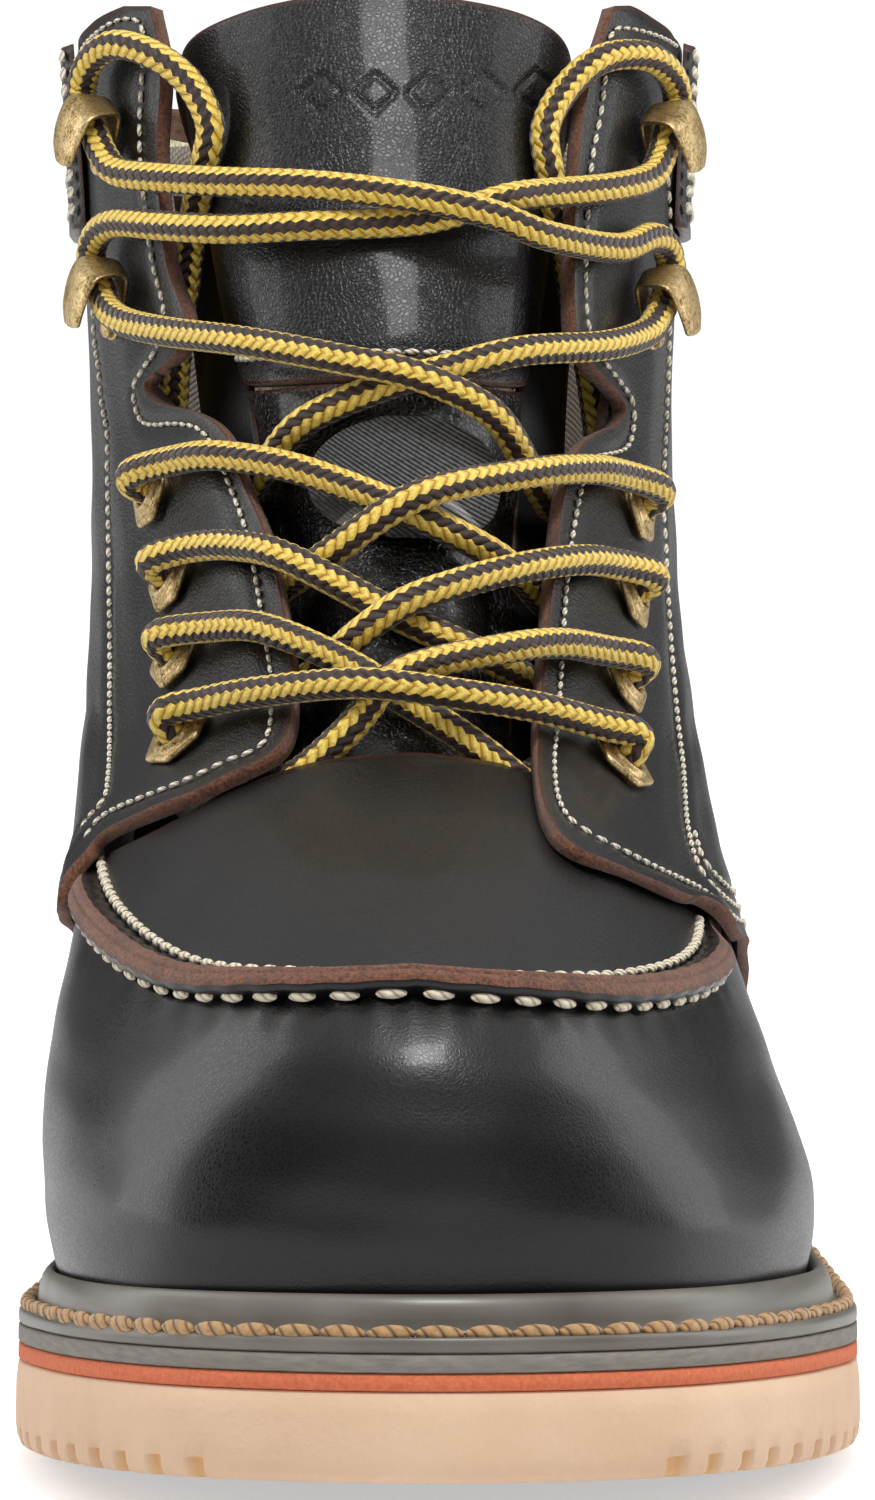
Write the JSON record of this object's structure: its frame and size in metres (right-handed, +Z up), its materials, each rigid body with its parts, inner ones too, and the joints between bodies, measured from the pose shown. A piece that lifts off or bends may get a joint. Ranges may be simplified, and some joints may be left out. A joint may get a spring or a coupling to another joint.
{
  "type": "steel toe work boot",
  "caption": "Left ankle-high moc-toe safety boot: welted wedge sole, steel toe cap, padded collar, gusseted tongue, eyelets, speed hooks and a laced-up braided lace.",
  "frame": {"origin": "on the ground, under the middle of the sole's length and of the boot's width", "axes": "-Y towards the toe, +Y towards the heel, +Z up, -X towards the medial (inner) side of this left boot"},
  "size_m": [0.1121, 0.3, 0.1913],
  "materials": {
    "outsole_rubber": "matte cream crepe-like foam rubber, dusty, with tan scuffs and tread edge nicks",
    "sole_stripe": "thin orange-brown foam layer, matte, slightly felted edge",
    "midsole_grey": "warm grey rubber midsole edge, sanded, fine brushed streaks",
    "welt_grey": "grey storm welt with a rolled rib, smooth satin",
    "cork": "granular cork filler",
    "pressed_steel": "pressed steel, dull satin",
    "insole_board": "stiff tan leather board",
    "footbed_foam": "dark grey textile over foam",
    "soft_rubber": "soft black rubber strip",
    "heel_stiffener": "fibreboard",
    "black_leather": "glossy pull-up full-grain leather, pebbled, with brown raw edges and fine creases",
    "toe_leather": "glossy full-grain leather pulled over the toe, fine creases, brown raw edges",
    "facing_stay": "brown split leather",
    "lining": "tan brushed textile lining",
    "foam": "open-cell foam padding",
    "woven_label": null,
    "antique_brass": "antique brass, dark in the recesses, grainy",
    "braided_lace": "round braided lace, yellow and dark brown zigzag, waxed",
    "aglet_metal": "crimped antique brass tip"
  },
  "bodies": {
    "root": {"outsole": "outsole_rubber", "midsole_stripe": "sole_stripe", "midsole": "midsole_grey", "storm_welt": "welt_grey", "cork_filler": "cork", "steel_shank": "pressed_steel", "insole_board": "insole_board", "footbed": "footbed_foam", "steel_toe_cap": "pressed_steel", "toe_cap_trim": "soft_rubber", "heel_counter": "heel_stiffener", "vamp": "toe_leather", "apron": "toe_leather", "quarter_medial": "black_leather", "quarter_lateral": "black_leather", "facing_stay_medial": "facing_stay", "facing_stay_lateral": "facing_stay", "lining_medial": "lining", "lining_lateral": "lining", "vamp_lining": "lining", "heel_cover": "black_leather", "backstay": "black_leather", "collar_band": "black_leather", "collar_padding": "foam", "gusset_medial": "black_leather", "gusset_lateral": "black_leather", "eyelet_medial_1": "antique_brass", "eyelet_medial_2": "antique_brass", "eyelet_medial_3": "antique_brass", "eyelet_medial_4": "antique_brass", "hook_medial_1": "antique_brass", "hook_medial_2": "antique_brass", "hook_rivet_medial_1": "antique_brass", "hook_rivet_medial_2": "antique_brass", "eyelet_lateral_1": "antique_brass", "eyelet_lateral_2": "antique_brass", "eyelet_lateral_3": "antique_brass", "eyelet_lateral_4": "antique_brass", "hook_lateral_1": "antique_brass", "hook_lateral_2": "antique_brass", "hook_rivet_lateral_1": "antique_brass", "hook_rivet_lateral_2": "antique_brass", "lace": "braided_lace", "aglet_medial": "aglet_metal", "aglet_lateral": "aglet_metal"},
    "tongue": {"tongue_lower": "black_leather", "tongue_upper": "black_leather", "tongue_padding": "foam", "tongue_lining": "lining", "tongue_label": "woven_label"}
  },
  "joints": [
    {"name": "tongue_hinge", "type": "hinge", "parent": "root", "child": "tongue", "pos_m": [-0.004, -0.062, 0.086], "axis": [-1, 0, 0], "range_deg": [0, 12], "stiffness_Nm_per_rad": 0.3, "springref_deg": -6.88}
  ]
}
